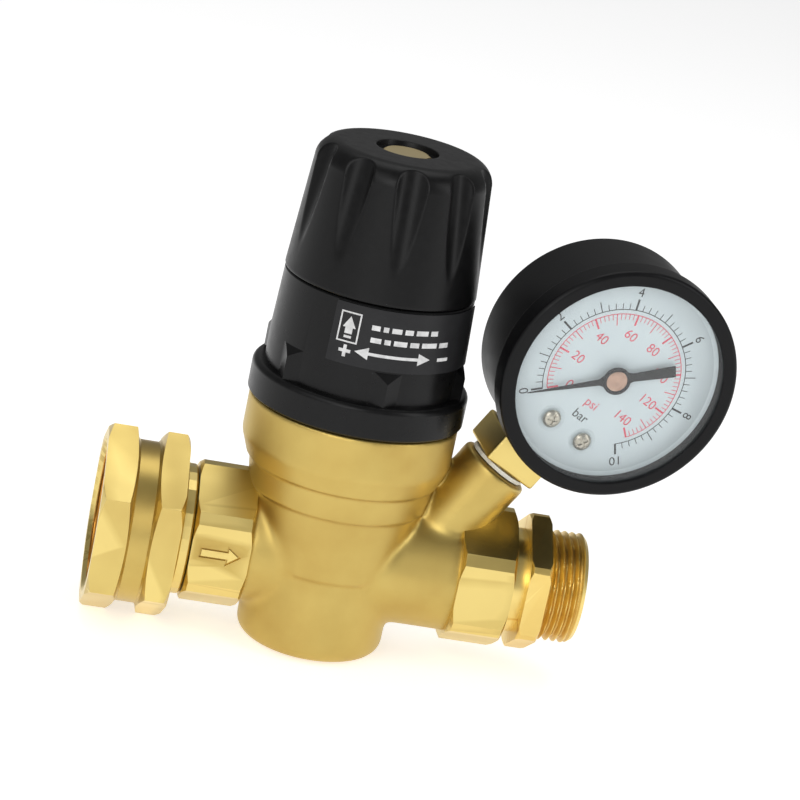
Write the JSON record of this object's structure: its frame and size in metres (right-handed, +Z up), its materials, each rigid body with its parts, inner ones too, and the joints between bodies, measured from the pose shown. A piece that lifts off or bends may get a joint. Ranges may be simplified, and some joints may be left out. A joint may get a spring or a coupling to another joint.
{
  "type": "water pressure regulator",
  "caption": "Adjustable diaphragm water pressure regulator: brass body, swivel inlet nut, threaded outlet, black adjusting knob and a dial gauge on an inclined boss.",
  "frame": {"origin": "centre of the swivel nut's mouth on the flow axis", "axes": "+X along the flow from inlet to outlet, +Z up along the adjusting spindle, -Y towards the front of the dial"},
  "size_m": [0.138, 0.0504, 0.1208],
  "materials": {
    "brass": "satin, fine blasted",
    "movement_brass": "plain",
    "black_plastic": "fine moulded, low sheen",
    "label_film": "matt film with light print",
    "black_paint": "satin black enamel",
    "dial_enamel": "pale enamel with printed scales",
    "clear_lens": "clear",
    "pointer_black": "matt black",
    "rubber": "matt",
    "nylon": "natural",
    "steel": "plain",
    "copper": "phosphor bronze"
  },
  "bodies": {
    "housing": {"body": "brass", "valve_seat": "brass", "inlet_tailpiece": "brass", "thrust_ring": "brass", "outlet_adapter": "brass", "gauge_socket": "brass", "inlet_washer": "rubber", "outlet_seal": "rubber", "diaphragm": "rubber", "inlet_screen": "steel", "main_spring": "steel", "dial_screw_left": "steel", "dial_screw_right": "steel", "slip_ring": "nylon", "thrust_washer": "nylon", "gauge_seal": "nylon", "bonnet": "black_plastic", "bonnet_tower": "black_plastic", "lock_ring": "black_plastic", "label": "label_film", "gauge_case": "black_paint", "gauge_bezel": "black_paint", "gauge_lens": "clear_lens", "gauge_dial": "dial_enamel", "bourdon_tube": "copper", "hairspring": "copper", "movement_back_plate": "movement_brass", "movement_front_plate": "movement_brass", "movement_pillar_1": "movement_brass", "movement_pillar_2": "movement_brass", "movement_pillar_3": "movement_brass"},
    "inlet_nut": {"swivel_nut": "brass"},
    "spindle": {"adjusting_spindle": "brass", "spindle_circlip": "steel"},
    "knob": {"knob": "black_plastic"},
    "pressure_nut": {"spring_nut": "brass"},
    "valve": {"valve_stem": "steel", "valve_holder": "brass", "valve_disc": "rubber", "disc_washer": "steel", "piston_oring": "rubber", "spring_plate": "steel", "stem_nut": "steel"},
    "pointer": {"pointer": "pointer_black", "pointer_hub": "copper", "pinion_arbor": "steel"},
    "sector": {"sector_gear": "movement_brass"},
    "tube_end": {"bourdon_tip": "movement_brass", "tip_link": "steel"}
  },
  "joints": [
    {"name": "nut_swivel", "type": "hinge", "parent": "housing", "child": "inlet_nut", "pos_m": [0.0095, 0, 0], "axis": [1, 0, 0], "continuous": true},
    {"name": "knob_turn", "type": "hinge", "parent": "housing", "child": "spindle", "pos_m": [0.0545, 0, 0.08], "axis": [0, 0, 1], "range_deg": [-1080, 1080]},
    {"name": "knob_lift", "type": "slide", "parent": "spindle", "child": "knob", "axis": [0, 0, 1], "range_m": [0, 0.0045]},
    {"name": "nut_travel", "type": "slide", "parent": "housing", "child": "pressure_nut", "axis": [0, 0, 1], "range_m": [-0.00451, 0.00451], "deforming": ["main_spring"]},
    {"name": "valve_lift", "type": "slide", "parent": "housing", "child": "valve", "axis": [0, 0, 1], "range_m": [0, 0.0014], "stiffness_N_per_m": 400, "deforming": ["diaphragm", "main_spring"]},
    {"name": "pointer_turn", "type": "hinge", "parent": "housing", "child": "pointer", "pos_m": [0.10968, -0.01178, 0.05688], "axis": [-0.1652, 0.9816, 0.0954], "range_deg": [-0.5, 270.5]},
    {"name": "sector_swing", "type": "hinge", "parent": "housing", "child": "sector", "pos_m": [0.09549, -0.00876, 0.05364], "axis": [-0.1652, 0.9816, 0.0954], "range_deg": [-45.5, 0.5]},
    {"name": "tube_end_travel", "type": "slide", "parent": "housing", "child": "tube_end", "axis": [-0.5, 0, -0.866], "range_m": [0, 0.00344], "stiffness_N_per_m": 150}
  ],
  "couplings": [
    {"joint": "nut_travel", "follows": "knob_turn", "m_per_rad": 0.00023873},
    {"joint": "sector_swing", "follows": "tube_end_travel", "rad_per_m": -228.04},
    {"joint": "pointer_turn", "follows": "tube_end_travel", "rad_per_m": 1368.2}
  ]
}
